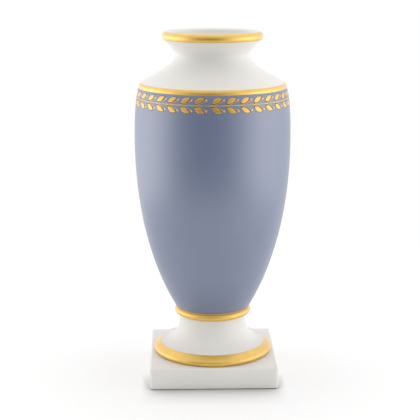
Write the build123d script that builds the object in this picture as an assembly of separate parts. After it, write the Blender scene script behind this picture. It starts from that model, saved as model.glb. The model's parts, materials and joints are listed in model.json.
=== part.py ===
from build123d import *
import math
import os

# A porcelain amphora on a square plinth. All sizes are in millimetres. The axis is +Z and the
# vase stands on z = 0, on its felt pads. Points on an outline are (radius, height).

# Driving sizes
HEIGHT = 300.0
PAD_THICKNESS = 0.6
PLINTH_WIDTH = 109.7
PLINTH_TOP = 18.7
JOINT_Z = 59.3
FRIEZE_REPEATS = 34
LAYER = 0.15

# Rim roll: the lip turns round this centre
RIM_TUBE = 3.9
RIM_CENTRE = (38.9, HEIGHT - RIM_TUBE)
RIM_GOLD_FROM = 90.0
RIM_GOLD_TO = -50.0

# Outside of the body, from the rim down
THROAT = (32.35, 281.0)
SHOULDER_EDGE = (60.7, 257.3)
BLUE_TOP = (62.9, 253.4)
BELLY = (67.0, 208.8)
BLUE_BOTTOM = (32.3, 60.1)
BODY_BASE = (31.9, JOINT_Z)
CAVETTO_PULLS = ((37.2, 289.57), (THROAT[0], 284.2))
NECK_PULLS = ((THROAT[0], 271.4), (45.9, 266.0))
EDGE_PULLS = ((61.9, 256.6), (62.3, 255.2))
UPPER_PULLS = ((66.4, 243.9), (BELLY[0], 224.0))
LOWER_PULLS = ((BELLY[0], 147.8), (54.1, 97.2))

# Inside of the body
LIP_END_DEG = 150.0
INNER_THROAT = (28.2, 284.0)
THROAT_LENGTH = 8.0
THROAT_FOOT = (INNER_THROAT[0], INNER_THROAT[1] - THROAT_LENGTH)
INNER_SHOULDER = (58.0, 252.6)
INNER_BELLY = (62.5, 208.8)
FLOOR_EDGE = (29.0, 68.5)
LIP_PULLS = ((34.1, 295.6), (INNER_THROAT[0], 289.0))
INNER_NECK_PULLS = ((INNER_THROAT[0], 269.5), (44.0, 262.0))
INNER_UPPER_PULLS = ((61.7, 243.0), (INNER_BELLY[0], 224.0))
INNER_LOWER_PULLS = ((INNER_BELLY[0], 150.0), (50.5, 103.0))

# Pedestal foot: waist ring, spreading stem and foot ring
WAIST_RING_TUBE = 3.1
WAIST_RING_CENTRE = (30.3, JOINT_Z - WAIST_RING_TUBE)
WAIST_GOLD_TO = -80.0
STEM_TOP_DEG = -125.0
STEM_PULLS = ((28.1, 39.1), (34.2, 27.9))
FLARE_EDGE = (45.9, 27.67)
FOOT_RING_SLOPE = 50.0
FOOT_RING_BEND = 4.0
FOOT_RING_BEND_CENTRE = (47.75, 20.9)
FOOT_RING_HEEL = FOOT_RING_BEND_CENTRE[1] - PLINTH_TOP
FOOT_RING_HEEL_CENTRE = (49.55, 20.9)
FOOT_GOLD_TO = -75.0
FOOT_CAVITY_TOP = (20.0, 49.0)
FOOT_CAVITY_PULLS = ((22.5, 36.0), (28.0, 27.0))
FOOT_CAVITY_BOTTOM = 34.0

# Plinth
PLINTH_CORNER = 2.5
PLINTH_TOP_EDGE = 1.2
PLINTH_BOTTOM_EDGE = 0.4
PLINTH_WALL = 8.0
PLINTH_DECK = 7.0
CAVITY_CORNER = 18.0

# Tie rod and its fittings
ROD_RADIUS = 3.0
ROD_HOLE_RADIUS = 4.0
ROD_BOTTOM = 2.6
RUBBER_WASHER = (11.0, 2.0)
STEEL_WASHER = (9.0, 1.6)
LOCK_WASHER = (5.9, 1.6)
LOCK_WASHER_GAP = 1.2
NUT_ACROSS_FLATS = 10.0
NUT_HEIGHT = 5.0
CAP_NUT_HEX = 5.5
CAP_NUT_DOME_RADIUS = 4.75
CAP_NUT_HEIGHT = 12.0
CAP_NUT_THREAD = 9.0

# Cork gaskets, let into the foot so that the joints close on porcelain
GASKET = 0.8
WAIST_GASKET_RADIUS = 22.0
FOOT_GASKET_RADII = (37.0, 44.0)

PAD_RADIUS = 6.0
PAD_CENTRE = 46.0

# Laurel frieze: leaf pairs on a stem, with a berry past each tip
FRIEZE_Z = 245.6
FRIEZE_RELIEF = 0.15
STEM_WIDTH = 0.55
LEAF_LENGTH = 9.0
LEAF_WIDTH = 3.6
LEAF_TILT = 30.0
LEAF_BASE_OFFSET = 1.4
BERRY_RADIUS = 0.95
BERRY_OFFSET = 3.8
BERRY_GAP = 1.5

FLOOR_Z = FLOOR_EDGE[1]
DECK_UNDERSIDE = PLINTH_TOP - PLINTH_DECK


def point(outline_point):
    """An outline point (radius, height) in the XZ plane."""
    return Vector(outline_point[0], 0, outline_point[1])


def line(start, end):
    return Edge.make_line(point(start), point(end))


def curve(start, pulls, end):
    """A smooth stretch of outline between two points, shaped by two pull points."""
    return Edge.make_bezier(point(start), point(pulls[0]), point(pulls[1]), point(end))


def on_circle(centre, radius, degrees):
    angle = math.radians(degrees)
    return (centre[0] + radius * math.cos(angle), centre[1] + radius * math.sin(angle))


def arc(centre, radius, start_deg, end_deg):
    middle_deg = (start_deg + end_deg) / 2
    ends = [on_circle(centre, radius, a) for a in (start_deg, middle_deg, end_deg)]
    return Edge.make_three_point_arc(*[point(p) for p in ends])


def inset(outline_point, depth=LAYER):
    """The same point moved towards the axis by the thickness of a painted layer."""
    return (outline_point[0] - depth, outline_point[1])


def inset_all(points, depth=LAYER):
    return tuple(inset(p, depth) for p in points)


def turned(*edges):
    """The solid of revolution of a closed outline."""
    return revolve(Face(Wire(edges)), Axis.Z)


def ring(inner, outer, bottom, top):
    """A flat washer or ring about the axis."""
    disc = Pos(0, 0, (bottom + top) / 2) * Cylinder(outer, top - bottom)
    return disc - Pos(0, 0, (bottom + top) / 2) * Cylinder(inner, top - bottom + 1)


def layer_over(start, pulls, end):
    """A painted layer on one smooth stretch of the outline."""
    return turned(
        curve(start, pulls, end),
        line(end, inset(end)),
        curve(inset(end), inset_all(pulls)[::-1], inset(start)),
        line(inset(start), start),
    )


def layer_over_arc(centre, radius, start_deg, end_deg):
    """A painted layer on a round moulding."""
    inner = radius - LAYER
    return turned(
        arc(centre, radius, start_deg, end_deg),
        line(on_circle(centre, radius, end_deg), on_circle(centre, inner, end_deg)),
        arc(centre, inner, end_deg, start_deg),
        line(on_circle(centre, inner, start_deg), on_circle(centre, radius, start_deg)),
    )


def vessel_outside():
    """Outline from the lip's crown down to the base, stepped in where a layer lies on it."""
    inner_rim = RIM_TUBE - LAYER
    rim_end = on_circle(RIM_CENTRE, RIM_TUBE, RIM_GOLD_TO)
    return [
        line(
            on_circle(RIM_CENTRE, RIM_TUBE, RIM_GOLD_FROM),
            on_circle(RIM_CENTRE, inner_rim, RIM_GOLD_FROM),
        ),
        arc(RIM_CENTRE, inner_rim, RIM_GOLD_FROM, RIM_GOLD_TO),
        line(on_circle(RIM_CENTRE, inner_rim, RIM_GOLD_TO), rim_end),
        curve(rim_end, CAVETTO_PULLS, THROAT),
        curve(THROAT, NECK_PULLS, SHOULDER_EDGE),
        line(SHOULDER_EDGE, inset(SHOULDER_EDGE)),
        curve(inset(SHOULDER_EDGE), inset_all(EDGE_PULLS), inset(BLUE_TOP)),
        curve(inset(BLUE_TOP), inset_all(UPPER_PULLS), inset(BELLY)),
        curve(inset(BELLY), inset_all(LOWER_PULLS), inset(BLUE_BOTTOM)),
        line(inset(BLUE_BOTTOM), inset(BODY_BASE)),
    ]


def vessel_inside():
    """Outline from the floor's bore up the inside to the lip's crown."""
    lip_end = on_circle(RIM_CENTRE, RIM_TUBE, LIP_END_DEG)
    return [
        line(inset(BODY_BASE), (ROD_HOLE_RADIUS, JOINT_Z)),
        line((ROD_HOLE_RADIUS, JOINT_Z), (ROD_HOLE_RADIUS, FLOOR_Z)),
        line((ROD_HOLE_RADIUS, FLOOR_Z), FLOOR_EDGE),
        curve(FLOOR_EDGE, INNER_LOWER_PULLS[::-1], INNER_BELLY),
        curve(INNER_BELLY, INNER_UPPER_PULLS[::-1], INNER_SHOULDER),
        curve(INNER_SHOULDER, INNER_NECK_PULLS[::-1], THROAT_FOOT),
        line(THROAT_FOOT, INNER_THROAT),
        curve(INNER_THROAT, LIP_PULLS[::-1], lip_end),
        arc(RIM_CENTRE, RIM_TUBE, LIP_END_DEG, RIM_GOLD_FROM),
    ]


def vessel_body():
    return turned(*vessel_outside(), *vessel_inside())


def rim_gilding():
    return layer_over_arc(RIM_CENTRE, RIM_TUBE, RIM_GOLD_FROM, RIM_GOLD_TO)


def shoulder_gilding():
    return layer_over(SHOULDER_EDGE, EDGE_PULLS, BLUE_TOP)


def blue_ground():
    """The coloured ground over the belly, in two stretches fused into one layer."""
    return turned(
        curve(BLUE_TOP, UPPER_PULLS, BELLY),
        curve(BELLY, LOWER_PULLS, BLUE_BOTTOM),
        line(BLUE_BOTTOM, inset(BLUE_BOTTOM)),
        curve(inset(BLUE_BOTTOM), inset_all(LOWER_PULLS)[::-1], inset(BELLY)),
        curve(inset(BELLY), inset_all(UPPER_PULLS)[::-1], inset(BLUE_TOP)),
        line(inset(BLUE_TOP), BLUE_TOP),
    )


def body_base_gilding():
    return turned(
        line(BLUE_BOTTOM, BODY_BASE),
        line(BODY_BASE, inset(BODY_BASE)),
        line(inset(BODY_BASE), inset(BLUE_BOTTOM)),
        line(inset(BLUE_BOTTOM), BLUE_BOTTOM),
    )


def waist_ring_gilding():
    return layer_over_arc(WAIST_RING_CENTRE, WAIST_RING_TUBE, RIM_GOLD_FROM, WAIST_GOLD_TO)


def foot_ring_face(depth):
    """The foot ring from the flare's edge to its heel: a slope, a bend and a tighter heel."""
    slope = math.radians(FOOT_RING_SLOPE)
    top = (FLARE_EDGE[0] - depth * math.cos(slope), FLARE_EDGE[1] - depth * math.sin(slope))
    bend = FOOT_RING_BEND - depth
    heel = FOOT_RING_HEEL - depth
    return [
        line(top, on_circle(FOOT_RING_BEND_CENTRE, bend, FOOT_RING_SLOPE)),
        arc(FOOT_RING_BEND_CENTRE, bend, FOOT_RING_SLOPE, 0.0),
        arc(FOOT_RING_HEEL_CENTRE, heel, 0.0, FOOT_GOLD_TO),
    ]


def foot_ring_gilding():
    outer = foot_ring_face(0.0)
    inner = foot_ring_face(LAYER)
    return turned(
        *outer,
        Edge.make_line(outer[-1] @ 1, inner[-1] @ 1),
        *inner,
        Edge.make_line(inner[0] @ 0, outer[0] @ 0),
    )


def waist_ring_outline():
    """Outline of the waist ring, from its crown down to the stem."""
    centre = WAIST_RING_CENTRE
    outer = WAIST_RING_TUBE
    inner = WAIST_RING_TUBE - LAYER
    return [
        line(on_circle(centre, outer, RIM_GOLD_FROM), on_circle(centre, inner, RIM_GOLD_FROM)),
        arc(centre, inner, RIM_GOLD_FROM, WAIST_GOLD_TO),
        line(on_circle(centre, inner, WAIST_GOLD_TO), on_circle(centre, outer, WAIST_GOLD_TO)),
        arc(centre, outer, WAIST_GOLD_TO, STEM_TOP_DEG),
    ]


def foot_ring_outline():
    """Outline of the foot ring, from the flare's edge down to the plinth."""
    face = foot_ring_face(LAYER)
    return [
        Edge.make_line(point(FLARE_EDGE), face[0] @ 0),
        *face,
        Edge.make_line(face[-1] @ 1, point(on_circle(FOOT_RING_HEEL_CENTRE, FOOT_RING_HEEL, FOOT_GOLD_TO))),
        arc(FOOT_RING_HEEL_CENTRE, FOOT_RING_HEEL, FOOT_GOLD_TO, -90.0),
    ]


def pedestal_foot():
    """The turned foot, hollow underneath, with a bored partition under the body."""
    waist_end = on_circle(WAIST_RING_CENTRE, WAIST_RING_TUBE, STEM_TOP_DEG)
    ring_bottom = (FOOT_RING_HEEL_CENTRE[0], PLINTH_TOP)
    cavity_edge = (FOOT_CAVITY_BOTTOM, PLINTH_TOP)
    bore_bottom = (ROD_HOLE_RADIUS, FOOT_CAVITY_TOP[1])
    bore_top = (ROD_HOLE_RADIUS, JOINT_Z)
    crown = (WAIST_RING_CENTRE[0], JOINT_Z)
    body = turned(
        *waist_ring_outline(),
        curve(waist_end, STEM_PULLS, FLARE_EDGE),
        *foot_ring_outline(),
        line(ring_bottom, cavity_edge),
        curve(cavity_edge, FOOT_CAVITY_PULLS[::-1], FOOT_CAVITY_TOP),
        line(FOOT_CAVITY_TOP, bore_bottom),
        line(bore_bottom, bore_top),
        line(bore_top, crown),
    )
    return body - waist_gasket() - foot_gasket()


def waist_gasket():
    return ring(ROD_HOLE_RADIUS, WAIST_GASKET_RADIUS, JOINT_Z - GASKET, JOINT_Z)


def foot_gasket():
    inner, outer = FOOT_GASKET_RADII
    return ring(inner, outer, PLINTH_TOP, PLINTH_TOP + GASKET)


def square_block(width, corner, bottom, top):
    """A square block with rounded upright corners, centred on the axis."""
    face = RectangleRounded(width, width, corner)
    return extrude(Pos(0, 0, bottom) * face, top - bottom)


def plinth():
    """The square plinth, hollow underneath, bored for the tie rod."""
    block = square_block(PLINTH_WIDTH, PLINTH_CORNER, PAD_THICKNESS, PLINTH_TOP)
    block = fillet(block.faces().sort_by(Axis.Z)[-1].edges(), PLINTH_TOP_EDGE)
    block = fillet(block.faces().sort_by(Axis.Z)[0].edges(), PLINTH_BOTTOM_EDGE)
    cavity_width = PLINTH_WIDTH - 2 * PLINTH_WALL
    cavity = square_block(cavity_width, CAVITY_CORNER, 0, DECK_UNDERSIDE)
    bore = Cylinder(ROD_HOLE_RADIUS, 4 * PLINTH_TOP)
    return block - cavity - bore


def fastener_levels():
    """Heights of the stacked fittings: above the vessel's floor, and below the plinth's deck."""
    rubber_top = FLOOR_Z + RUBBER_WASHER[1]
    cap_nut_bottom = rubber_top + STEEL_WASHER[1]
    base_washer_bottom = DECK_UNDERSIDE - STEEL_WASHER[1]
    lock_washer_bottom = base_washer_bottom - LOCK_WASHER[1]
    return rubber_top, cap_nut_bottom, base_washer_bottom, lock_washer_bottom


def tie_rod():
    """The steel rod that clamps body, foot and plinth together, chamfered at its ends."""
    top = fastener_levels()[1] + CAP_NUT_THREAD
    rod = Pos(0, 0, (ROD_BOTTOM + top) / 2) * Cylinder(ROD_RADIUS, top - ROD_BOTTOM)
    return chamfer(rod.edges().filter_by(GeomType.CIRCLE), 0.5)


def hexagon_block(bottom, height):
    face = RegularPolygon(NUT_ACROSS_FLATS / 2, 6, major_radius=False)
    return extrude(Pos(0, 0, bottom) * face, height)


def cap_nut():
    """A domed nut, closed at the top, on the rod inside the vessel."""
    bottom = fastener_levels()[1]
    top = bottom + CAP_NUT_HEIGHT
    dome_z = top - CAP_NUT_DOME_RADIUS
    neck_height = dome_z - bottom - CAP_NUT_HEX
    neck_z = bottom + CAP_NUT_HEX + neck_height / 2
    body = hexagon_block(bottom, CAP_NUT_HEX)
    body += Pos(0, 0, neck_z) * Cylinder(CAP_NUT_DOME_RADIUS, neck_height)
    body += Pos(0, 0, dome_z) * Sphere(CAP_NUT_DOME_RADIUS)
    thread_z = bottom + CAP_NUT_THREAD / 2
    return body - Pos(0, 0, thread_z) * Cylinder(ROD_RADIUS, CAP_NUT_THREAD)


def rubber_washer():
    return ring(ROD_RADIUS, RUBBER_WASHER[0], FLOOR_Z, FLOOR_Z + RUBBER_WASHER[1])


def cap_washer():
    rubber_top, cap_nut_bottom, _, _ = fastener_levels()
    return ring(ROD_RADIUS + 0.2, STEEL_WASHER[0], rubber_top, cap_nut_bottom)


def base_washer():
    bottom = fastener_levels()[2]
    return ring(ROD_RADIUS + 0.2, STEEL_WASHER[0], bottom, DECK_UNDERSIDE)


def lock_washer():
    """A split spring washer."""
    _, _, top, bottom = fastener_levels()
    washer = ring(ROD_RADIUS + 0.2, LOCK_WASHER[0], bottom, top)
    gap = Pos(LOCK_WASHER[0] / 2, 0, (bottom + top) / 2) * Box(LOCK_WASHER[0], LOCK_WASHER_GAP, 3)
    return washer - Pos(1, 0, 0) * gap


def base_nut():
    bottom = fastener_levels()[3] - NUT_HEIGHT
    bore = Pos(0, 0, bottom + NUT_HEIGHT / 2) * Cylinder(ROD_RADIUS, NUT_HEIGHT + 1)
    return hexagon_block(bottom, NUT_HEIGHT) - bore


def felt_pad(x, y):
    return Pos(x, y, PAD_THICKNESS / 2) * Cylinder(PAD_RADIUS, PAD_THICKNESS)


def relief_shell():
    """A thin shell lying on the blue ground, from which the frieze is cut."""
    return turned(
        curve(inset(BLUE_TOP, -FRIEZE_RELIEF), inset_all(UPPER_PULLS, -FRIEZE_RELIEF),
              inset(BELLY, -FRIEZE_RELIEF)),
        line(inset(BELLY, -FRIEZE_RELIEF), BELLY),
        curve(BELLY, UPPER_PULLS[::-1], BLUE_TOP),
        line(BLUE_TOP, inset(BLUE_TOP, -FRIEZE_RELIEF)),
    )


def radial_prism(face):
    """A flat shape, drawn as (along the frieze, up), pushed through the front of the body."""
    front = Plane(origin=(0, 0, FRIEZE_Z), x_dir=(1, 0, 0), z_dir=(0, -1, 0))
    return extrude(front * (Pos(0, 0, BLUE_TOP[0] - 5) * face), 15)


def leaf_face(side):
    """A leaf springing from just beside the stem; side is +1 above it and -1 below."""
    base = Vector(0, 0)
    tip = Vector(LEAF_LENGTH, 0)
    belly = Vector(LEAF_LENGTH / 2, LEAF_WIDTH / 2)
    back = Vector(LEAF_LENGTH / 2, -LEAF_WIDTH / 2)
    lower = Edge.make_three_point_arc(base, back, tip)
    upper = Edge.make_three_point_arc(tip, belly, base)
    leaf = Face(Wire([lower, upper]))
    return Pos(0, side * LEAF_BASE_OFFSET) * (Rot(0, 0, side * LEAF_TILT) * leaf)


def berry_face(side):
    tip = LEAF_LENGTH * math.cos(math.radians(LEAF_TILT))
    berry = Face(Wire(Edge.make_circle(BERRY_RADIUS)))
    return Pos(tip + BERRY_GAP, side * BERRY_OFFSET) * berry


def laurel_frieze():
    """Raised gold leaves and berries on a thin stem line, all on the blue ground."""
    shell = relief_shell()
    unit = []
    for side in (1, -1):
        for face in (leaf_face(side), berry_face(side)):
            unit += (shell & radial_prism(face)).solids()
    pieces = []
    for index in range(FRIEZE_REPEATS):
        turn = Rot(0, 0, 360 * index / FRIEZE_REPEATS)
        pieces += [turn * solid for solid in unit]
    stem_zone = Pos(0, 0, FRIEZE_Z) * Cylinder(BELLY[0] + 5, STEM_WIDTH)
    pieces += (shell & stem_zone).solids()
    return Compound(pieces)


def parts():
    """Every piece of the vase by name."""
    pieces = {
        "vessel_body": vessel_body(),
        "pedestal_foot": pedestal_foot(),
        "plinth": plinth(),
        "blue_ground": blue_ground(),
        "rim_gilding": rim_gilding(),
        "shoulder_gilding": shoulder_gilding(),
        "body_base_gilding": body_base_gilding(),
        "waist_ring_gilding": waist_ring_gilding(),
        "foot_ring_gilding": foot_ring_gilding(),
        "laurel_frieze": laurel_frieze(),
        "waist_gasket": waist_gasket(),
        "foot_gasket": foot_gasket(),
        "tie_rod": tie_rod(),
        "cap_nut": cap_nut(),
        "cap_washer": cap_washer(),
        "rubber_washer": rubber_washer(),
        "base_washer": base_washer(),
        "lock_washer": lock_washer(),
        "base_nut": base_nut(),
    }
    corners = {"front_left": (-1, -1), "front_right": (1, -1), "back_left": (-1, 1), "back_right": (1, 1)}
    for name, (x, y) in corners.items():
        pieces[f"felt_pad_{name}"] = felt_pad(x * PAD_CENTRE, y * PAD_CENTRE)
    return pieces


os.makedirs("parts", exist_ok=True)
for piece_name, piece in parts().items():
    export_step(piece, f"parts/{piece_name}.step")
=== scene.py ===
"""The looks of a porcelain amphora on a square plinth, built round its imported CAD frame."""

import json
import math

import bmesh
import bpy
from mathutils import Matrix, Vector, noise


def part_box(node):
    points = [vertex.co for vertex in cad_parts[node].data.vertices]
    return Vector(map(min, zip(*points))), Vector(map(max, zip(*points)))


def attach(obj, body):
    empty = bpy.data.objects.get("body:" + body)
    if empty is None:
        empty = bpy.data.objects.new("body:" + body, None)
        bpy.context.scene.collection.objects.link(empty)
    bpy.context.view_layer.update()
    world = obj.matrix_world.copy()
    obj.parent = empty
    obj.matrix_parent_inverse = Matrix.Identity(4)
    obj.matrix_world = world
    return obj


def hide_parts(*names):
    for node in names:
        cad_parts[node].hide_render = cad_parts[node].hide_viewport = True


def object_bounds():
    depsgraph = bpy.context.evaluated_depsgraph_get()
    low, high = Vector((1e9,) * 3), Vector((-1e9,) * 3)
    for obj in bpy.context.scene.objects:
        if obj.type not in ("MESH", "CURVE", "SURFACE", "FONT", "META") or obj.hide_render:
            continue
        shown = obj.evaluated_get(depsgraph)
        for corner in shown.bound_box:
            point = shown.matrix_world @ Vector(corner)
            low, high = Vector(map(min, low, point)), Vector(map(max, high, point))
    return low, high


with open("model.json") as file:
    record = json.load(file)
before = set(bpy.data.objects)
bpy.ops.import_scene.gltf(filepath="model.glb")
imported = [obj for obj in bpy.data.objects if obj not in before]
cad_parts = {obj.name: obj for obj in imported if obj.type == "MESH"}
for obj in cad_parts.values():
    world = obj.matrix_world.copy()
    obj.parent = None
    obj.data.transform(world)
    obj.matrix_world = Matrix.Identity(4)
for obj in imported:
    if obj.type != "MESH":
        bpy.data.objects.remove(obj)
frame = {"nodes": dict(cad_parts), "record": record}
CAD_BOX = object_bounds()
MM = 0.001

# ---------------------------------------------------------------------------------------------
# Sizes, in millimetres. Outline points are (radius, height).

HEIGHT = (CAD_BOX[1][2] - CAD_BOX[0][2]) / MM
JOINT_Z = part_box("vessel_body")[0][2] / MM
PLINTH_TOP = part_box("plinth")[1][2] / MM
PLINTH_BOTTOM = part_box("plinth")[0][2] / MM
PLINTH_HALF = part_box("plinth")[1][0] / MM

# Outside of the body, from the rolled lip down
RIM_TUBE = 3.9
RIM_CENTRE = (38.9, HEIGHT - RIM_TUBE)
RIM_GOLD = (90.0, -50.0)
THROAT = (32.35, 281.0)
SHOULDER_EDGE = (60.7, 257.3)
BLUE_TOP = (62.9, 253.4)
BELLY = (67.0, 208.8)
BLUE_BOTTOM = (32.3, 60.1)
BODY_BASE = (31.9, JOINT_Z)
CAVETTO_PULLS = ((37.2, 289.57), (THROAT[0], 284.2))
NECK_PULLS = ((THROAT[0], 271.4), (45.9, 266.0))
EDGE_PULLS = ((61.9, 256.6), (62.3, 255.2))
UPPER_PULLS = ((66.4, 243.9), (BELLY[0], 224.0))
LOWER_PULLS = ((BELLY[0], 147.8), (54.1, 97.2))

# Inside of the body, and the bore for the tie rod
LIP_END = 150.0
INNER_THROAT = (28.2, 284.0)
THROAT_FOOT = (INNER_THROAT[0], 276.0)
INNER_SHOULDER = (58.0, 252.6)
INNER_BELLY = (62.5, 208.8)
FLOOR_EDGE = (29.0, 68.5)
LIP_PULLS = ((34.1, 295.6), (INNER_THROAT[0], 289.0))
INNER_NECK_PULLS = ((INNER_THROAT[0], 269.5), (44.0, 262.0))
INNER_UPPER_PULLS = ((61.7, 243.0), (INNER_BELLY[0], 224.0))
INNER_LOWER_PULLS = ((INNER_BELLY[0], 150.0), (50.5, 103.0))
ROD_HOLE = 4.0

# Foot, from the waist ring down to the plinth. The margins are how far in from the outer edge
# the inside outlines of the body and the foot set off.
WAIST_TUBE = 3.1
WAIST_CENTRE = (30.3, JOINT_Z - WAIST_TUBE)
WAIST_GOLD = (90.0, -80.0)
STEM_TOP = -125.0
STEM_PULLS = ((28.1, 39.1), (34.2, 27.9))
FLARE_EDGE = (45.9, 27.67)
RING_SLOPE = 50.0
RING_BEND = 4.0
RING_BEND_CENTRE = (47.75, 20.9)
RING_HEEL = RING_BEND_CENTRE[1] - PLINTH_TOP
RING_HEEL_CENTRE = (49.55, RING_BEND_CENTRE[1])
FOOT_GOLD_END = -75.0
FOOT_CAVITY_TOP = (20.0, 49.0)
FOOT_CAVITY_PULLS = ((22.5, 36.0), (28.0, 27.0))
FOOT_CAVITY_RADIUS = 34.0
JOINT_MARGIN = 0.5
HEEL_MARGIN = 1.0

# Plinth: a square slab, hollow below. The cove is (inward, below the deck) from the wall's top,
# and the loops are how many steps each stretch of it is drawn in.
PLINTH_CORNER = 2.5
PLINTH_EDGE = 1.3
PLINTH_FOOT_EDGE = 0.4
PLINTH_WALL = 8.0
PLINTH_DECK = 7.0
TOP_MARGIN = 0.3
HOLLOW_EDGE = 0.6
HOLLOW_COVE = [(0.0, 1.5), (0.5, 0.4), (1.8, 0.0)]
HOLLOW_ROUNDNESS = 0.12
LEAST_CORNER = 0.05
SIDE_STEPS = 18
CORNER_STEPS = 8
TOP_LOOPS = 12
EDGE_LOOPS = 8
WALL_LOOPS = 6
FOOT_EDGE_LOOPS = 6
UNDERSIDE_LOOPS = 8

# Angles, in degrees, past which an edge between two faces stays crisp
CREASE = 35.0
PLINTH_CREASE = 50.0

# How far a fired layer stands above the porcelain, and how deep its hidden side lies in it.
# A band thins out over BAND_EDGE, and its edges drift by up to about BRUSH_WOBBLE.
BLUE_LIFT = 0.05
GOLD_LIFT = 0.12
BURIED = 0.12
BAND_EDGE = 0.25
BAND_EDGE_POWER = 1.2
BRUSH_WOBBLE = 0.14
WOBBLE_SLOW = 1.7
WOBBLE_QUICK = 9.0
WOBBLE_QUICK_SHARE = 0.35
SEED_STEP = 5.0

# The shoulder line lies BAND_DROP further down the outline than SHOULDER_EDGE and BLUE_TOP.
# It and the foot ring's gold swell by BAND_CROWN in the middle.
BAND_DROP = 0.6
BAND_CROWN = 0.35

# How far each layer starts or stops from the corner of the outline that it is drawn to
BLUE_TUCK_TOP = 1.5
BLUE_TUCK_BOTTOM = 0.3
LIP_START = 0.2
BASE_LINE_END = 0.1
WAIST_START = 0.3
FOOT_RING_START = 0.1

# Laurel frieze. Along the frieze is towards +X at the front; heights are from the stem line.
FRIEZE_Z = 244.9
UNIT_PITCH = 10.53
UNIT_COUNT = 34
FIRST_UNIT = -1.97
LEAF_LENGTH = 8.9
LEAF_WIDTH = 3.9
LEAF_TILT = 28.0
LEAF_BASE = 1.75
LEAF_RELIEF = 0.22

# A leaf's grid leaves off LEAF_TIP of its length at each point. LEAF_LEAN, LEAF_PLUMP and
# LEAF_DOME are powers: where it is widest, how full it is, and how flat its dome is.
LEAF_ROWS = 18
LEAF_COLUMNS = 10
LEAF_TIP = 0.012
LEAF_LEAN = 0.95
LEAF_PLUMP = 0.85
LEAF_DOME = 0.8
LEAF_BEND = 0.25
VEIN_DEPTH = 0.35
VEIN_WIDTH = 0.16

# Rows and columns at a leaf's edge that stay the lighter gold round its deeper heart of painted shade
LEAF_EDGE = 2

BERRY_RADIUS = 0.95
BERRY_AT = (9.4, 4.3)
BERRY_RELIEF = 0.3
BERRY_SIDES = 14
BERRY_DOME = [(0.02, 1.0), (0.35, 0.94), (0.65, 0.76), (0.86, 0.5), (1.0, 0.0)]

STEM_RADIUS = 0.26
STEM_OVERLAP = 2.0
STEM_STEPS = 8
STALK_RADIUS = 0.2
STALK_START = -1.6
STALK_PULLS = ((3.1, 0.8), (6.3, 2.0))
STALK_END = 0.5
LINE_COLUMNS = 4
LINE_RELIEF = 0.16

# The sepia outline: CONTOUR wider than the leaf on each side, and more at its tips, and set
# CONTOUR_DROP towards its stem side
CONTOUR = 0.34
CONTOUR_TIP = 1.6
CONTOUR_DROP = 0.22
CONTOUR_LIFT = 0.03

# Tie rod and felt discs. THREAD_STEPS are to a pitch, and the segments are round the axis.
THREAD_PITCH = 1.0
THREAD_DEPTH = 0.55
THREAD_SHARPNESS = 1.4
THREAD_STEPS = 7
THREAD_SEGMENTS = 28
FELT_SEGMENTS = 72
FELT_FRAY = 0.05
FELT_RAGS = 7
FELT_SHIFT = 9.0

# A disc's edge as (share of its radius, share of its thickness), from the bottom up
FELT_EDGE = [(0.9, 0.0), (0.98, 0.15), (1.0, 0.5), (0.98, 0.85), (0.92, 1.0)]

# Steps round the axis for everything turned
SEGMENTS = 288

# Light table, in metres. A shade is painted into its colour: things nearer than CONTACT_SHADE darken it.
# The painted shade fades out from front to back across CLEAR_BEHIND, and outwards to each side across
# CLEAR_BESIDE.
FLOOR_RADIUS = 0.5
FLOOR_SIDES = 96
CONTACT_SHADE = 0.036
CLEAR_BEHIND = (-0.06, -0.012)
CLEAR_BESIDE = (0.055, 0.063)
PALE_FLOOR = (1.0, 0.99, 0.98)
SHADE_TONES = [(0.4, (0.38, 0.375, 0.36)), (1.0, PALE_FLOOR)]

# Light from all round, in shares of SIDE_LIGHT: first from the front, where it is dark, to the
# back, and then from straight below to straight above. DARK_SIDE turns it, in degrees.
# TOP_STOPS are shares of TOP_LIGHT, by height. A lean is a share more towards the right or the
# back, or less where it is negative.
DARK_SIDE = -10.0
ROUND_STOPS = [
    (-1.0, 0.0), (-0.88, 0.04), (-0.6, 0.5), (-0.25, 1.0), (0.2, 1.0), (0.65, 0.5), (1.0, 0.35)
]
HEIGHT_STOPS = [
    (-1.0, 0.2), (-0.5, 0.5), (-0.32, 1.0), (0.12, 1.0), (0.36, 0.35), (0.6, 0.1), (1.0, 0.0)
]
TOP_STOPS = [(-1.0, 0.0), (0.2, 0.0), (0.65, 1.0), (1.0, 1.0)]
SIDE_LIGHT = 2.4
RIGHT_LEAN = -0.02
TOP_LIGHT = 1.0
TOP_LEAN = 0.3
LEAST_LIGHT = 0.08

# Camera: lens and sensor in millimetres, shift in sensor widths, distance and height in metres,
# and angles in degrees
CAMERA_LENS = 101.05
CAMERA_SENSOR = 36.0
CAMERA_SHIFT = 0.01036
CAMERA_DISTANCE = 1.006
CAMERA_HEIGHT = 0.3673
CAMERA_TURN = 1.6
CAMERA_DIP = 12.66
CAMERA_AIM = 0.126


# ---------------------------------------------------------------------------------------------
# Outlines


def bezier(start, pulls, end, count=24):
    """Points along a cubic curve, without its last point."""
    points = []
    for i in range(count):
        t = i / count
        s = 1 - t
        weights = (s**3, 3 * s * s * t, 3 * s * t * t, t**3)
        corners = (start, pulls[0], pulls[1], end)
        points.append(tuple(sum(w * c[k] for w, c in zip(weights, corners)) for k in (0, 1)))
    return points


def on_circle(centre, radius, degrees):
    """The point of a circle at an angle from the first axis."""
    angle = math.radians(degrees)
    return (centre[0] + radius * math.cos(angle), centre[1] + radius * math.sin(angle))


def arc(centre, radius, start, end, count=16):
    """Points along an arc, without its last point."""
    return [on_circle(centre, radius, start + (end - start) * i / count) for i in range(count)]


def straight(start, end, count=4):
    """Points along a straight line, without its last point."""
    return [tuple(a + (b - a) * i / count for a, b in zip(start, end)) for i in range(count)]


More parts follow.
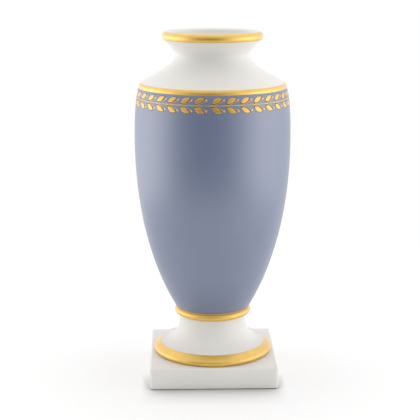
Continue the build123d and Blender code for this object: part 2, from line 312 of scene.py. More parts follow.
class Outline:
    """A smooth run of outline points that can be read by distance along it."""

    def __init__(self, points):
        self.points = [Vector(p) for p in points]
        self.at = [0.0]
        for a, b in zip(self.points, self.points[1:]):
            self.at.append(self.at[-1] + (b - a).length)

    def where(self, corner):
        """The distance along the outline to the point nearest the one given."""
        target = Vector(corner)
        nearest = min(range(len(self.points)), key=lambda i: (self.points[i] - target).length)
        return self.at[nearest]

    def read(self, distance):
        """The point and the outward normal at a distance along the outline."""
        distance = min(max(distance, 0.0), self.at[-1])
        i = next((k for k in range(1, len(self.at)) if self.at[k] >= distance), len(self.at) - 1)
        a, b = self.points[i - 1], self.points[i]
        share = (distance - self.at[i - 1]) / (self.at[i] - self.at[i - 1])
        step = self.tangent(i - 1).lerp(self.tangent(i), share).normalized()
        return a.lerp(b, share), Vector((-step.y, step.x))

    def tangent(self, i):
        """The direction of the outline at one of its points."""
        before = self.points[max(i - 1, 0)]
        after = self.points[min(i + 1, len(self.points) - 1)]
        return (after - before).normalized()


def vessel_outline():
    """Outside of the body, from the lip's crown to its base."""
    rim_end = on_circle(RIM_CENTRE, RIM_TUBE, RIM_GOLD[1])
    return (
        arc(RIM_CENTRE, RIM_TUBE, *RIM_GOLD, 28)
        + bezier(rim_end, CAVETTO_PULLS, THROAT)
        + bezier(THROAT, NECK_PULLS, SHOULDER_EDGE, 28)
        + bezier(SHOULDER_EDGE, EDGE_PULLS, BLUE_TOP, 14)
        + bezier(BLUE_TOP, UPPER_PULLS, BELLY, 30)
        + bezier(BELLY, LOWER_PULLS, BLUE_BOTTOM, 60)
        + straight(BLUE_BOTTOM, BODY_BASE)
        + [BODY_BASE]
    )


def vessel_inside():
    """From the body's base through the bore and up the inside to the lip's crown."""
    lip_end = on_circle(RIM_CENTRE, RIM_TUBE, LIP_END)
    return (
        straight((BODY_BASE[0] - JOINT_MARGIN, JOINT_Z), (ROD_HOLE, JOINT_Z))
        + straight((ROD_HOLE, JOINT_Z), (ROD_HOLE, FLOOR_EDGE[1]))
        + straight((ROD_HOLE, FLOOR_EDGE[1]), FLOOR_EDGE, 8)
        + bezier(FLOOR_EDGE, INNER_LOWER_PULLS[::-1], INNER_BELLY, 40)
        + bezier(INNER_BELLY, INNER_UPPER_PULLS[::-1], INNER_SHOULDER, 20)
        + bezier(INNER_SHOULDER, INNER_NECK_PULLS[::-1], THROAT_FOOT, 24)
        + straight(THROAT_FOOT, INNER_THROAT)
        + bezier(INNER_THROAT, LIP_PULLS[::-1], lip_end, 24)
        + arc(RIM_CENTRE, RIM_TUBE, LIP_END, RIM_GOLD[0], 14)
    )


def foot_outline():
    """Outside of the foot, from the waist ring's crown to the plinth."""
    waist_end = on_circle(WAIST_CENTRE, WAIST_TUBE, STEM_TOP)
    bend_start = on_circle(RING_BEND_CENTRE, RING_BEND, RING_SLOPE)
    return (
        arc(WAIST_CENTRE, WAIST_TUBE, WAIST_GOLD[0], STEM_TOP, 30)
        + bezier(waist_end, STEM_PULLS, FLARE_EDGE, 44)
        + straight(FLARE_EDGE, bend_start, 10)
        + arc(RING_BEND_CENTRE, RING_BEND, RING_SLOPE, 0.0, 14)
        + arc(RING_HEEL_CENTRE, RING_HEEL, 0.0, -90.0, 18)
        + [(RING_HEEL_CENTRE[0], PLINTH_TOP)]
    )


def foot_inside():
    """From the foot ring's heel up the cavity, through the bore and out over the joint face."""
    cavity_edge = (FOOT_CAVITY_RADIUS, PLINTH_TOP)
    return (
        straight((RING_HEEL_CENTRE[0] - HEEL_MARGIN, PLINTH_TOP), cavity_edge)
        + bezier(cavity_edge, FOOT_CAVITY_PULLS[::-1], FOOT_CAVITY_TOP, 20)
        + straight(FOOT_CAVITY_TOP, (ROD_HOLE, FOOT_CAVITY_TOP[1]))
        + straight((ROD_HOLE, FOOT_CAVITY_TOP[1]), (ROD_HOLE, JOINT_Z))
        + straight((ROD_HOLE, JOINT_Z), (WAIST_CENTRE[0] - JOINT_MARGIN, JOINT_Z))
    )


BODY = Outline(vessel_outline())
FOOT = Outline(foot_outline())


# ---------------------------------------------------------------------------------------------
# Mesh building


def place(radius, azimuth, height):
    """A point in metres; azimuth 0 is the front (-Y) and grows towards +X."""
    return Vector((radius * math.sin(azimuth), -radius * math.cos(azimuth), height)) * MM


def new_piece(name, bm, material, replaced=()):
    """Turns a bmesh into a smooth-shaded piece that rides on the frame."""
    bmesh.ops.remove_doubles(bm, verts=bm.verts, dist=1e-7)
    bmesh.ops.recalc_face_normals(bm, faces=bm.faces)
    mesh = bpy.data.meshes.new(name)
    bm.to_mesh(mesh)
    bm.free()
    mesh.shade_smooth()
    piece = bpy.data.objects.new(name, mesh)
    bpy.context.scene.collection.objects.link(piece)
    mesh.materials.append(material)
    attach(piece, "root")
    if replaced:
        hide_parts(*replaced)
    return piece


def sharpen(piece, degrees=CREASE):
    """Keeps true edges crisp where two faces meet at more than the angle given."""
    piece.data.set_sharp_from_angle(angle=math.radians(degrees))


def bridge(bm, loops):
    """Joins closed loops of corners with faces, each loop to the next."""
    for a, b in zip(loops, loops[1:]):
        for i in range(len(a)):
            j = (i + 1) % len(a)
            bm.faces.new((a[i], a[j], b[j], b[i]))


def closed_rings(bm, rings):
    """Joins rings of points, and the last to the first, into a closed skin."""
    loops = [[bm.verts.new(p) for p in ring] for ring in rings]
    bridge(bm, loops + loops[:1])


def capped_rings(bm, rings):
    """Joins rings of points, from one end to the other, and closes both ends."""
    loops = [[bm.verts.new(p) for p in ring] for ring in rings]
    bridge(bm, loops)
    bm.faces.new(loops[0][::-1])
    bm.faces.new(loops[-1])


def lathe(profile):
    """A closed outline turned about the axis."""
    bm = bmesh.new()
    turns = [2 * math.pi * i / SEGMENTS for i in range(SEGMENTS)]
    rings = [[place(radius, turn, height) for turn in turns] for radius, height in profile]
    closed_rings(bm, rings)
    return bm


def wobble(azimuth, seed):
    """A slow uneven drift round the body, as a brush held against a turning wheel leaves."""
    around = Vector((math.cos(azimuth), math.sin(azimuth), 0))
    slow = noise.noise(around * WOBBLE_SLOW + Vector((seed, 0, 0)))
    quick = noise.noise(around * WOBBLE_QUICK + Vector((0, seed, 0)))
    return BRUSH_WOBBLE * (slow + WOBBLE_QUICK_SHARE * quick)


def painted_band(outline, start, end, lift, across, seed, wobbles=(1.0, 1.0), crown=0.0):
    """A fired layer over one stretch of an outline, thin at its hand-drawn edges.

    Across is how many steps its outside has. The wobbles are shares of the drift at its two
    edges, and the crown is how far its middle swells.
    """
    bm = bmesh.new()
    sections = []
    for i in range(SEGMENTS):
        azimuth = 2 * math.pi * i / SEGMENTS
        low = start + wobbles[0] * wobble(azimuth, seed)
        high = end + wobbles[1] * wobble(azimuth, seed + SEED_STEP)
        outer, inner = [], []
        for k in range(across + 1):
            share = k / across
            point, normal = outline.read(low + (high - low) * share)
            edge = min(share, 1 - share) * (high - low)
            rise = lift * (1 - math.exp(-(edge / BAND_EDGE) ** BAND_EDGE_POWER))
            top = point + normal * (rise + crown * math.sin(math.pi * share))
            under = point - normal * BURIED
            outer.append(place(top.x, azimuth, top.y))
            inner.append(place(under.x, azimuth, under.y))
        sections.append(outer + inner[::-1])
    closed_rings(bm, sections)
    return bm


# ---------------------------------------------------------------------------------------------
# Materials


def new_material(name):
    """A new material with its nodes, links and main shader."""
    material = bpy.data.materials.new(name)
    material.use_nodes = True
    nodes = material.node_tree.nodes
    links = material.node_tree.links
    return material, nodes, links, nodes["Principled BSDF"]


def object_noise(nodes, links, scale, detail=2.0, roughness=0.5, stretch=(1, 1, 1)):
    """Noise in the object's own metres."""
    coordinates = nodes.new("ShaderNodeTexCoord")
    mapping = nodes.new("ShaderNodeMapping")
    mapping.inputs["Scale"].default_value = stretch
    texture = nodes.new("ShaderNodeTexNoise")
    texture.inputs["Scale"].default_value = scale
    texture.inputs["Detail"].default_value = detail
    texture.inputs["Roughness"].default_value = roughness
    links.new(coordinates.outputs["Object"], mapping.inputs["Vector"])
    links.new(mapping.outputs["Vector"], texture.inputs["Vector"])
    return texture.outputs["Fac"]


def ramp(nodes, links, value, stops, blend="LINEAR"):
    """Maps a value to a colour through (position, colour) stops."""
    node = nodes.new("ShaderNodeValToRGB")
    node.color_ramp.interpolation = blend
    elements = node.color_ramp.elements
    while len(elements) < len(stops):
        elements.new(0.5)
    for element, (position, colour) in zip(elements, stops):
        element.position = position
        element.color = (*colour, 1)
    links.new(value, node.inputs["Fac"])
    return node.outputs["Color"]


def spread(nodes, links, value, low, high):
    """Maps 0..1 to low..high."""
    node = nodes.new("ShaderNodeMapRange")
    node.inputs["To Min"].default_value = low
    node.inputs["To Max"].default_value = high
    links.new(value, node.inputs["Value"])
    return node.outputs["Result"]


def bumped(nodes, links, shader, heights):
    """Stacks bumps, each (height socket, distance in metres, strength)."""
    normal = None
    for value, distance, strength in heights:
        node = nodes.new("ShaderNodeBump")
        node.inputs["Distance"].default_value = distance
        node.inputs["Strength"].default_value = strength
        links.new(value, node.inputs["Height"])
        if normal:
            links.new(normal, node.inputs["Normal"])
        normal = node.outputs["Normal"]
    links.new(normal, shader.inputs["Normal"])


def porcelain_material():
    """White hard-paste porcelain under a clear glaze, with a faint waviness."""
    material, nodes, links, shader = new_material("white_porcelain")
    tone = object_noise(nodes, links, scale=14, detail=3)
    white = ramp(nodes, links, tone, [(0.3, (0.78, 0.765, 0.728)), (0.7, (0.81, 0.797, 0.763))])
    links.new(white, shader.inputs["Base Color"])
    sheen = spread(nodes, links, object_noise(nodes, links, scale=60, detail=2), 0.36, 0.46)
    links.new(sheen, shader.inputs["Roughness"])
    shader.inputs["IOR"].default_value = 1.45
    shader.inputs["Subsurface Weight"].default_value = 0.12
    shader.inputs["Subsurface Radius"].default_value = (0.004, 0.0035, 0.003)
    bumped(
        nodes,
        links,
        shader,
        [
            (object_noise(nodes, links, scale=45, detail=2), 0.0006, 0.12),
            (object_noise(nodes, links, scale=900, detail=2), 0.00005, 0.12),
        ],
    )
    return material


def blue_material():
    """Satin periwinkle-blue ground, slightly cloudy as a sprayed colour fires."""
    material, nodes, links, shader = new_material("blue_ground")
    cloud = object_noise(nodes, links, scale=22, detail=4, roughness=0.6)
    blue = ramp(nodes, links, cloud, [(0.3, (0.133, 0.168, 0.274)), (0.7, (0.148, 0.184, 0.296))])
    links.new(blue, shader.inputs["Base Color"])
    grain = object_noise(nodes, links, scale=1400, detail=3)
    links.new(spread(nodes, links, grain, 0.29, 0.38), shader.inputs["Roughness"])
    shader.inputs["IOR"].default_value = 2.0
    bumped(
        nodes,
        links,
        shader,
        [
            (object_noise(nodes, links, scale=50, detail=2), 0.0005, 0.08),
            (grain, 0.00003, 0.25),
        ],
    )
    return material


GOLD_TONES = [(0.25, (0.73, 0.43, 0.025)), (0.6, (0.79, 0.485, 0.04)), (0.85, (0.84, 0.54, 0.07))]
# Deeper gold for the leaves' hearts: painted shade, darker in the middle of each domed leaf than at its
# rim
PAINTED_SHADE_GOLD_TONES = [(0.25, (0.62, 0.33, 0.03)), (0.6, (0.75, 0.42, 0.05)), (0.85, (0.84, 0.48, 0.08))]


def gold_material(name, tones):
    """Burnished gold, brushed on round the wheel and a little uneven in tone. With darker tones it makes
    the painted shade in the leaves' hearts.
    """
    material, nodes, links, shader = new_material(name)
    patch = object_noise(nodes, links, scale=120, detail=4, roughness=0.6)
    gold = ramp(nodes, links, patch, tones)
    links.new(gold, shader.inputs["Base Color"])
    shader.inputs["Metallic"].default_value = 1.0
    shader.inputs["Coat Weight"].default_value = 1.0
    shader.inputs["Coat IOR"].default_value = 1.95
    shader.inputs["Coat Roughness"].default_value = 0.3
    strokes = object_noise(nodes, links, scale=500, detail=3, roughness=0.6, stretch=(0.15, 0.15, 3))
    links.new(spread(nodes, links, strokes, 0.4, 0.56), shader.inputs["Roughness"])
    bumped(nodes, links, shader, [(strokes, 0.00004, 0.35), (patch, 0.0001, 0.15)])
    return material


def contour_material():
    """A fine dark brown line round the gold leaves."""
    material, nodes, links, shader = new_material("sepia_line")
    tone = object_noise(nodes, links, scale=600, detail=3)
    sepia = ramp(nodes, links, tone, [(0.3, (0.085, 0.065, 0.06)), (0.7, (0.13, 0.105, 0.10))])
    links.new(sepia, shader.inputs["Base Color"])
    shader.inputs["Roughness"].default_value = 0.45
    bumped(nodes, links, shader, [(tone, 0.00003, 0.3)])
    return material


def steel_material():
    """Zinc-plated steel, with the plating's crystals."""
    material, nodes, links, shader = new_material("zinc_steel")
    crystals = object_noise(nodes, links, scale=700, detail=4, roughness=0.7)
    zinc = ramp(nodes, links, crystals, [(0.3, (0.42, 0.43, 0.44)), (0.7, (0.62, 0.62, 0.60))])
    links.new(zinc, shader.inputs["Base Color"])
    shader.inputs["Metallic"].default_value = 1.0
    links.new(spread(nodes, links, crystals, 0.25, 0.5), shader.inputs["Roughness"])
    bumped(nodes, links, shader, [(crystals, 0.00005, 0.3)])
    return material


def rubber_material():
    """Matt black rubber, a little dusty."""
    material, nodes, links, shader = new_material("black_rubber")
    dust = object_noise(nodes, links, scale=1500, detail=3)
    black = ramp(nodes, links, dust, [(0.3, (0.012, 0.012, 0.012)), (0.8, (0.04, 0.04, 0.038))])
    links.new(black, shader.inputs["Base Color"])
    links.new(spread(nodes, links, dust, 0.55, 0.8), shader.inputs["Roughness"])
    bumped(nodes, links, shader, [(dust, 0.00005, 0.4)])
    return material


def cork_material():
    """Pressed cork granules in browns."""
    material, nodes, links, shader = new_material("pressed_cork")
    granules = object_noise(nodes, links, scale=900, detail=3, roughness=0.7)
    browns = [(0.35, (0.16, 0.085, 0.035)), (0.5, (0.38, 0.24, 0.12)), (0.7, (0.5, 0.34, 0.19))]
    links.new(ramp(nodes, links, granules, browns), shader.inputs["Base Color"])
    shader.inputs["Roughness"].default_value = 0.85
    bumped(nodes, links, shader, [(granules, 0.0002, 0.6)])
    return material


def felt_material():
    """Grey-white wool felt."""
    material, nodes, links, shader = new_material("wool_felt")
    fibres = object_noise(nodes, links, scale=1800, detail=6, roughness=0.75, stretch=(1, 1, 3))
    wool = ramp(nodes, links, fibres, [(0.3, (0.36, 0.34, 0.30)), (0.7, (0.62, 0.60, 0.54))])
    links.new(wool, shader.inputs["Base Color"])
    shader.inputs["Roughness"].default_value = 0.95
    shader.inputs["Sheen Weight"].default_value = 0.4
    bumped(nodes, links, shader, [(fibres, 0.0002, 0.8)])
    return material


PORCELAIN = porcelain_material()
BLUE = blue_material()
GOLD = gold_material("burnished_gold", GOLD_TONES)
PAINTED_SHADE_GOLD = gold_material("painted_shade_gold", PAINTED_SHADE_GOLD_TONES)
SEPIA = contour_material()
STEEL = steel_material()
RUBBER = rubber_material()
CORK = cork_material()
FELT = felt_material()


# ---------------------------------------------------------------------------------------------
# Pieces


def make_vessel():
    """The body in white porcelain."""
    bm = lathe(vessel_outline() + vessel_inside())
    sharpen(new_piece("vessel_porcelain", bm, PORCELAIN, ["vessel_body"]))


def make_foot():
    """The pedestal foot in white porcelain."""
    bm = lathe(foot_outline() + foot_inside())
    sharpen(new_piece("foot_porcelain", bm, PORCELAIN, ["pedestal_foot"]))


def make_blue_ground():
    """The coloured ground, tucked under the gilded lines above and below it."""
    start = BODY.where(BLUE_TOP) - BLUE_TUCK_TOP
    end = BODY.where(BLUE_BOTTOM) + BLUE_TUCK_BOTTOM
    band = painted_band(BODY, start, end, BLUE_LIFT, across=120, seed=11.0)
    new_piece("blue_enamel_ground", band, BLUE, ["blue_ground"])


def make_lip_gold():
    """Gilding over the rolled lip."""
    end = BODY.where(on_circle(RIM_CENTRE, RIM_TUBE, RIM_GOLD[1]))
    band = painted_band(BODY, LIP_START, end, GOLD_LIFT, across=28, seed=2.0)
    new_piece("lip_gold", band, GOLD, ["rim_gilding"])


def make_shoulder_gold():
    """The rounded line between the white shoulder and the blue."""
    start = BODY.where(SHOULDER_EDGE) + BAND_DROP
    end = BODY.where(BLUE_TOP) + BAND_DROP
    band = painted_band(BODY, start, end, GOLD_LIFT, across=16, seed=3.0, crown=BAND_CROWN)
    new_piece("shoulder_gold", band, GOLD, ["shoulder_gilding"])


def make_base_line_gold():
    """The narrow line round the body's base."""
    start, end = BODY.where(BLUE_BOTTOM), BODY.at[-1] - BASE_LINE_END
    band = painted_band(BODY, start, end, GOLD_LIFT, across=6, seed=4.0, wobbles=(0.6, 0.0))
    new_piece("base_line_gold", band, GOLD, ["body_base_gilding"])


def make_waist_gold():
    """Gilding over the waist ring."""
    end = FOOT.where(on_circle(WAIST_CENTRE, WAIST_TUBE, WAIST_GOLD[1]))
    band = painted_band(FOOT, WAIST_START, end, GOLD_LIFT, across=28, seed=5.0, wobbles=(0.0, 1.0))
    new_piece("waist_gold", band, GOLD, ["waist_ring_gilding"])


def make_foot_ring_gold():
    """Gilding over the ring that the foot ends in."""
    start = FOOT.where(FLARE_EDGE) + FOOT_RING_START
    end = FOOT.where(on_circle(RING_HEEL_CENTRE, RING_HEEL, FOOT_GOLD_END))
    edges = (0.3, 1.0)
    band = painted_band(FOOT, start, end, GOLD_LIFT, across=30, seed=6.0, wobbles=edges, crown=BAND_CROWN)
    new_piece("foot_ring_gold", band, GOLD, ["foot_ring_gilding"])


def square_ring(inset, height, roundness=0.0):
    """A loop round the plinth: a rounded square blended towards a circle by roundness."""
    half = PLINTH_HALF - inset
    corner = max(PLINTH_CORNER - inset, LEAST_CORNER)
    flat = half - corner
    side = [(half, 2 * flat * i / SIDE_STEPS - flat) for i in range(SIDE_STEPS)]
    side += arc((flat, flat), corner, 0.0, 90.0, CORNER_STEPS)
    points = []
    for quarter in range(4):
        turn = math.pi / 2 * quarter
        for x, y in side:
            scale = 1 + (half / math.hypot(x, y) - 1) * roundness
            across = (x * math.cos(turn) - y * math.sin(turn)) * scale
            along = (x * math.sin(turn) + y * math.cos(turn)) * scale
            points.append(Vector((across, along, height)) * MM)
    return points


def plinth_top_rings():
    """Loops from the deck's bore out over the top, from round to square, and over its edge."""
    rings = []
    bore, edge = PLINTH_HALF - ROD_HOLE, PLINTH_EDGE + TOP_MARGIN
    for i in range(TOP_LOOPS + 1):
        share = i / TOP_LOOPS
        rings.append(square_ring(bore + (edge - bore) * share, PLINTH_TOP, (1 - share) ** 0.5))
    for i in range(EDGE_LOOPS + 1):
        angle = math.pi / 2 * i / EDGE_LOOPS
        height = PLINTH_TOP - PLINTH_EDGE * (1 - math.cos(angle))
        rings.append(square_ring(PLINTH_EDGE * (1 - math.sin(angle)), height))
    return rings


def plinth_side_rings():
    """Loops down the sides and round the bottom edge."""
    top, foot = PLINTH_TOP - PLINTH_EDGE, PLINTH_BOTTOM + PLINTH_FOOT_EDGE
    rings = [square_ring(0, top + (foot - top) * i / WALL_LOOPS) for i in range(1, WALL_LOOPS)]
    for i in range(FOOT_EDGE_LOOPS + 1):
        angle = math.pi / 2 * i / FOOT_EDGE_LOOPS
        height = PLINTH_BOTTOM + PLINTH_FOOT_EDGE * (1 - math.sin(angle))
        rings.append(square_ring(PLINTH_FOOT_EDGE * (1 - math.cos(angle)), height))
    return rings


def plinth_hollow_rings():
    """Loops up inside the walls, round the cove and in under the deck to the bore."""
    underside = PLINTH_TOP - PLINTH_DECK
    walls = [(PLINTH_WALL - HOLLOW_EDGE, PLINTH_BOTTOM), (PLINTH_WALL, PLINTH_BOTTOM + HOLLOW_EDGE)]
    walls += [(PLINTH_WALL + inward, underside - below) for inward, below in HOLLOW_COVE]
    rings = [square_ring(inset, height, HOLLOW_ROUNDNESS) for inset, height in walls]
    bore, edge = PLINTH_HALF - ROD_HOLE, PLINTH_WALL + HOLLOW_COVE[-1][0]
    for i in range(1, UNDERSIDE_LOOPS + 1):
        share = i / UNDERSIDE_LOOPS
        roundness = HOLLOW_ROUNDNESS + (1 - HOLLOW_ROUNDNESS) * share
        rings.append(square_ring(edge + (bore - edge) * share, underside, roundness))
    return rings


def make_plinth():
    """The square plinth in white porcelain."""
    bm = bmesh.new()
    closed_rings(bm, plinth_top_rings() + plinth_side_rings() + plinth_hollow_rings())
    piece = new_piece("plinth_porcelain", bm, PORCELAIN, ["plinth"])
    sharpen(piece, PLINTH_CREASE)


def find_frieze():
    """The distance along the body's outline to the stem line, and the radius there."""
    upper = [i for i in range(len(BODY.points)) if BODY.points[i].y < BLUE_TOP[1]]
    nearest = min(upper, key=lambda i: abs(BODY.points[i].y - FRIEZE_Z))
    extra = BODY.points[nearest].y - FRIEZE_Z
    return BODY.at[nearest] + extra, BODY.points[nearest].x


FRIEZE_AT, FRIEZE_RADIUS = find_frieze()


def on_body(along, up, lift, turn):
    """A point of the frieze, in metres.

    Along and up are in millimetres from where a unit starts on the stem line, and turn is the
    unit's azimuth.
    """
    point, normal = BODY.read(FRIEZE_AT - up)
    raised = point + normal * lift
    return place(raised.x, along / FRIEZE_RADIUS + turn, raised.y)


def frieze_patch(bm, grid, turn, heart=False):
    """Adds a closed patch: a grid of (along, up, lift) on top, with a buried underside.

    With a heart, the faces away from the patch's edge take the piece's second material, the deeper gold
    of painted shade.
    """
    top, under = [], []
    for row in grid:
        top_row, under_row = [], []
        for along, up, lift in row:
            top_row.append(bm.verts.new(on_body(along, up, lift, turn)))
            under_row.append(bm.verts.new(on_body(along, up, -BURIED, turn)))
        top.append(top_row)
        under.append(under_row)
    rows, columns = len(grid), len(grid[0])
    for i in range(rows - 1):
        for j in range(columns - 1):
            face = bm.faces.new((top[i][j], top[i][j + 1], top[i + 1][j + 1], top[i + 1][j]))
            inside = LEAF_EDGE <= j < columns - 1 - LEAF_EDGE and LEAF_EDGE <= i < rows - 1 - LEAF_EDGE
            face.material_index = int(heart and inside)
            bm.faces.new((under[i][j], under[i + 1][j], under[i + 1][j + 1], under[i][j + 1]))
    for i in range(rows - 1):
        bm.faces.new((top[i][0], top[i + 1][0], under[i + 1][0], under[i][0]))
        bm.faces.new((top[i][-1], under[i][-1], under[i + 1][-1], top[i + 1][-1]))
    for j in range(columns - 1):
        bm.faces.new((top[0][j], under[0][j], under[0][j + 1], top[0][j + 1]))
        bm.faces.new((top[-1][j], top[-1][j + 1], under[-1][j + 1], under[-1][j]))


def leaf_width(share):
    """Half width of a leaf at a share of its length: plump, pointed at both ends."""
    return LEAF_WIDTH / 2 * math.sin(math.pi * share**LEAF_LEAN) ** LEAF_PLUMP


def leaf_grid(side, grow=0.0, drop=0.0, relief=LEAF_RELIEF, base_lift=BLUE_LIFT):
    """One leaf above (+1) or below (-1) the stem, as rows along its length."""
    tilt = math.radians(LEAF_TILT)
    grid = []
    for i in range(LEAF_ROWS + 1):
        share = LEAF_TIP + (1 - 2 * LEAF_TIP) * i / LEAF_ROWS
        half = leaf_width(share) + grow
        length = LEAF_LENGTH * share + grow * (2 * share - 1) * CONTOUR_TIP
        bend = LEAF_BEND * math.sin(math.pi * share) - drop
        row = []
        for j in range(LEAF_COLUMNS + 1):
            across = 2 * j / LEAF_COLUMNS - 1
            y = half * across + bend
            dome = math.sqrt(max(1 - across * across, 0.0)) ** LEAF_DOME
            vein = VEIN_DEPTH * math.exp(-((across / VEIN_WIDTH) ** 2))
            vein *= min(1.0, 4 * share * (1 - share) + 0.2)
            lift = base_lift + relief * (dome - vein * dome)
            along = length * math.cos(tilt) - y * math.sin(tilt)
            up = length * math.sin(tilt) + y * math.cos(tilt)
            row.append((along, side * (LEAF_BASE + up), lift))
        grid.append(row)
    return grid


def tube_patch(bm, path, radius, turn):
    """A raised line along a path of (along, up)."""
    grid = []
    for i, (along, up) in enumerate(path):
        before, after = path[max(i - 1, 0)], path[min(i + 1, len(path) - 1)]
        step = Vector((after[0] - before[0], after[1] - before[1])).normalized()
        side = Vector((-step.y, step.x))
        row = []
        for j in range(LINE_COLUMNS + 1):
            across = 2 * j / LINE_COLUMNS - 1
            lift = BLUE_LIFT + LINE_RELIEF * math.sqrt(max(1 - across * across, 0.0))
            row.append((along + side.x * radius * across, up + side.y * radius * across, lift))
        grid.append(row)
    frieze_patch(bm, grid, turn)


def stalk_path(side):
    """From the stem, close under the leaf, and out to the berry."""
    start, end = (STALK_START, 0.0), (BERRY_AT[0] - STALK_END, side * (BERRY_AT[1] - STALK_END))
    pulls = [(along, side * up) for along, up in STALK_PULLS]
    return bezier(start, pulls, end, 18) + [end]


def berry_ring(bm, side, turn, reach, lift):
    """A ring of corners round a berry's centre."""
    ring = []
    for k in range(BERRY_SIDES):
        angle = 360 * k / BERRY_SIDES
        along, up = on_circle((BERRY_AT[0], side * BERRY_AT[1]), reach, angle)
        ring.append(bm.verts.new(on_body(along, up, lift, turn)))
    return ring


def berry_patch(bm, side, turn):
    """A round berry, domed, as rings closed on a buried underside."""
    rings = []
    for share, height in BERRY_DOME:
        lift = BLUE_LIFT + BERRY_RELIEF * height
        rings.append(berry_ring(bm, side, turn, BERRY_RADIUS * share, lift))
    rings.append(berry_ring(bm, side, turn, BERRY_RADIUS, -BURIED))
    bridge(bm, rings)
    bm.faces.new(rings[0])
    bm.faces.new(rings[-1][::-1])


def unit_turns():
    """Azimuth of each leaf pair: evenly pitched, with one slightly wider gap at the join."""
    return [math.radians(FIRST_UNIT + UNIT_PITCH * i) for i in range(UNIT_COUNT)]


def make_frieze():
    """The laurel, in gold with deeper hearts of painted shade to its leaves, over sepia outlines."""
    gold = bmesh.new()
    sepia = bmesh.new()
    pitch = math.radians(UNIT_PITCH) * FRIEZE_RADIUS
    join = math.radians(360 - UNIT_PITCH * (UNIT_COUNT - 1)) * FRIEZE_RADIUS
    for index, turn in enumerate(unit_turns()):
        reach = join if index == UNIT_COUNT - 1 else pitch
        stem = [(reach * k / STEM_STEPS - STEM_OVERLAP, 0.0) for k in range(STEM_STEPS + 1)]
        tube_patch(gold, stem, STEM_RADIUS, turn)
        for side in (1, -1):
            frieze_patch(gold, leaf_grid(side), turn, True)
            tube_patch(gold, stalk_path(side), STALK_RADIUS, turn)
            berry_patch(gold, side, turn)
            outline = leaf_grid(side, CONTOUR, CONTOUR_DROP, 0.0, BLUE_LIFT + CONTOUR_LIFT)
            frieze_patch(sepia, outline, turn)
    laurel = new_piece("laurel_gold", gold, GOLD, ["laurel_frieze"])
    # The second material is the deeper gold, painted shade in the leaves' hearts
    laurel.data.materials.append(PAINTED_SHADE_GOLD)
    new_piece("laurel_contour", sepia, SEPIA)


def make_rod():
    """The tie rod, with one rolled thread from end to end and a chamfer at each end."""
    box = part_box("tie_rod")
    low, high, radius = box[0][2] / MM, box[1][2] / MM, box[1][0] / MM
    count = int((high - low) / THREAD_PITCH * THREAD_STEPS)
    rings = []
    for i in range(count + 1):
        height = low + (high - low) * i / count
        chamfered = radius - THREAD_DEPTH + min(height - low, high - height)
        ring = []
        for k in range(THREAD_SEGMENTS):
            turn = k / THREAD_SEGMENTS
            wave = math.cos(2 * math.pi * (height / THREAD_PITCH - turn))
            groove = THREAD_DEPTH * (0.5 + 0.5 * wave) ** THREAD_SHARPNESS
            ring.append(place(min(radius - groove, chamfered), 2 * math.pi * turn, height))
        rings.append(ring)
    bm = bmesh.new()
    capped_rings(bm, rings)
    new_piece("threaded_rod", bm, STEEL, ["tie_rod"])


def make_felt():
    """Punched felt discs with soft, slightly ragged edges."""
    for seed, side in enumerate(("front_left", "front_right", "back_left", "back_right")):
        node = "felt_pad_" + side
        low, high = (Vector(corner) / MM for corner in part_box(node))
        radius = (high.x - low.x) / 2
        rings = []
        for reach, rise in FELT_EDGE:
            centre = (low + high) / 2
            centre.z = low.z + (high.z - low.z) * rise
            ring = []
            for k in range(FELT_SEGMENTS):
                angle = 2 * math.pi * k / FELT_SEGMENTS
                spot = Vector((math.cos(angle), math.sin(angle), 0))
                rag = noise.noise(spot * FELT_RAGS + Vector((seed * FELT_SHIFT, 0, rise)))
                fray = 1 - FELT_FRAY * abs(rag)
                ring.append((centre + spot * radius * reach * fray) * MM)
            rings.append(ring)
        bm = bmesh.new()
        capped_rings(bm, rings)
        new_piece("felt_disc_" + side, bm, FELT, [node])


def dress_hardware():
    """Finishes for the fittings that keep their CAD shapes."""
    finishes = {"steel": STEEL, "rubber": RUBBER, "cork": CORK}
    slots = {entry["node"]: entry["material_slot"] for entry in frame["record"]["subparts"]}
    for name, node in frame["nodes"].items():
        finish = finishes.get(slots[name])
        if finish is None:
            continue
        for slot in node.material_slots:
            slot.material = finish


# ---------------------------------------------------------------------------------------------
# Studio


def rise_between(nodes, links, value, ends):
    """0 up to the first end, 1 from the second, and a straight rise between them."""
    node = nodes.new("ShaderNodeMapRange")
    node.inputs["From Min"].default_value, node.inputs["From Max"].default_value = ends
    links.new(value, node.inputs["Value"])
    return node.outputs["Result"]


def floor_colour_and_painted_shade(nodes, links):
    """Near white, with a painted shade close to the object, cleared again behind it and beside it."""
    # Painted shade: ambient occlusion darkens the floor's own colour near the object
    contact = nodes.new("ShaderNodeAmbientOcclusion")
    contact.inputs["Distance"].default_value = CONTACT_SHADE
    shade = ramp(nodes, links, contact.outputs["AO"], SHADE_TONES)
    coordinates = nodes.new("ShaderNodeTexCoord")
    split = nodes.new("ShaderNodeSeparateXYZ")
    links.new(coordinates.outputs["Object"], split.inputs["Vector"])
    behind = rise_between(nodes, links, split.outputs["Y"], CLEAR_BEHIND)
    width = math_node(nodes, links, "ABSOLUTE", split.outputs["X"], 0.0)
    beside = rise_between(nodes, links, width, CLEAR_BESIDE)
    tone = nodes.new("ShaderNodeMix")
    tone.data_type = "RGBA"
    links.new(math_node(nodes, links, "MAXIMUM", behind, beside), tone.inputs["Factor"])
    links.new(shade, tone.inputs["A"])
    tone.inputs["B"].default_value = (*PALE_FLOOR, 1.0)
    return tone.outputs["Result"]


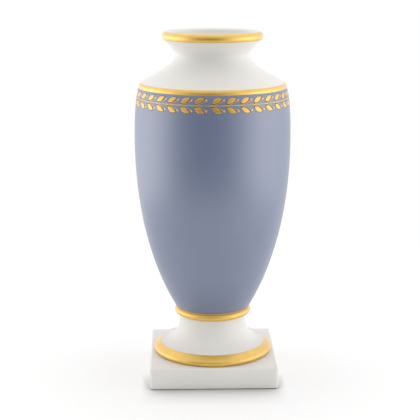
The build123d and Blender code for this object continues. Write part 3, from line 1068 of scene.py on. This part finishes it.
def make_floor():
    """A round white light table, whose edge is lost in the white studio."""
    bm = bmesh.new()
    bmesh.ops.create_circle(bm, cap_ends=True, segments=FLOOR_SIDES, radius=FLOOR_RADIUS)
    mesh = bpy.data.meshes.new("light_table")
    bm.to_mesh(mesh)
    bm.free()
    floor = bpy.data.objects.new("light_table", mesh)
    bpy.context.scene.collection.objects.link(floor)
    material, nodes, links, shader = new_material("light_table")
    links.new(floor_colour_and_painted_shade(nodes, links), shader.inputs["Base Color"])
    shader.inputs["Roughness"].default_value = 0.9
    shader.inputs["Specular IOR Level"].default_value = 0.1
    mesh.materials.append(material)


def signed_ramp(nodes, links, value, stops):
    """A soft grey ramp over -1..1."""
    unit = nodes.new("ShaderNodeMapRange")
    unit.inputs["From Min"].default_value = -1.0
    links.new(value, unit.inputs["Value"])
    greys = [((x + 1) / 2, (y, y, y)) for x, y in stops]
    return ramp(nodes, links, unit.outputs["Result"], greys, "B_SPLINE")


def math_node(nodes, links, operation, first, second):
    """One sum on two sockets or numbers; MULTIPLY_ADD adds 1 to their product."""
    node = nodes.new("ShaderNodeMath")
    node.operation = operation
    node.inputs[2].default_value = 1.0
    for socket, value in zip(node.inputs, (first, second)):
        if isinstance(value, float):
            socket.default_value = value
        else:
            links.new(value, socket)
    return node.outputs["Value"]


def studio_light(nodes, links):
    """The strength of the light that reaches the object from each direction."""
    coordinates = nodes.new("ShaderNodeTexCoord")
    turned = nodes.new("ShaderNodeVectorRotate")
    turned.rotation_type = "Z_AXIS"
    turned.inputs["Angle"].default_value = -math.radians(DARK_SIDE)
    links.new(coordinates.outputs["Generated"], turned.inputs["Vector"])
    split = nodes.new("ShaderNodeSeparateXYZ")
    links.new(turned.outputs["Vector"], split.inputs["Vector"])
    around = signed_ramp(nodes, links, split.outputs["Y"], ROUND_STOPS)
    level = signed_ramp(nodes, links, split.outputs["Z"], HEIGHT_STOPS)
    above = signed_ramp(nodes, links, split.outputs["Z"], TOP_STOPS)
    rightward = math_node(nodes, links, "MULTIPLY_ADD", split.outputs["X"], RIGHT_LEAN)
    side_light = math_node(nodes, links, "MULTIPLY", rightward, SIDE_LIGHT)
    shares = math_node(nodes, links, "MULTIPLY", around, level)
    sides = math_node(nodes, links, "MULTIPLY", shares, side_light)
    backward = math_node(nodes, links, "MULTIPLY_ADD", split.outputs["Y"], TOP_LEAN)
    top_light = math_node(nodes, links, "MULTIPLY", backward, TOP_LIGHT)
    overhead = math_node(nodes, links, "MULTIPLY", above, top_light)
    total = math_node(nodes, links, "ADD", sides, overhead)
    return math_node(nodes, links, "ADD", total, LEAST_LIGHT)


def make_world():
    """A white studio: white to the camera, and dark from the front as the object sees it."""
    world = bpy.data.worlds.new("studio")
    bpy.context.scene.world = world
    world.use_nodes = True
    nodes, links = world.node_tree.nodes, world.node_tree.links
    background = nodes["Background"]
    background.inputs["Color"].default_value = (1, 1, 1, 1)
    path = nodes.new("ShaderNodeLightPath")
    mix = nodes.new("ShaderNodeMix")
    mix.inputs["B"].default_value = 1.0
    links.new(path.outputs["Is Camera Ray"], mix.inputs["Factor"])
    links.new(studio_light(nodes, links), mix.inputs["A"])
    links.new(mix.outputs["Result"], background.inputs["Strength"])


def make_camera():
    """A long lens about a metre away, above the vase and a little left of it."""
    camera = bpy.data.cameras.new("camera")
    camera.sensor_width = CAMERA_SENSOR
    camera.lens = CAMERA_LENS
    camera.shift_y = CAMERA_SHIFT
    body = bpy.data.objects.new("camera", camera)
    bpy.context.scene.collection.objects.link(body)
    turn = math.radians(CAMERA_TURN)
    across, back = -CAMERA_DISTANCE * math.sin(turn), -CAMERA_DISTANCE * math.cos(turn)
    body.location = (across, back, CAMERA_HEIGHT)
    body.rotation_euler = (math.radians(90 - CAMERA_DIP), 0, math.radians(CAMERA_AIM) - turn)
    bpy.context.scene.camera = body


make_vessel()
make_foot()
make_plinth()
make_blue_ground()
make_lip_gold()
make_shoulder_gold()
make_base_line_gold()
make_waist_gold()
make_foot_ring_gold()
make_frieze()
make_rod()
make_felt()
dress_hardware()
make_floor()
make_world()
make_camera()
bpy.context.scene.view_settings.view_transform = "Standard"
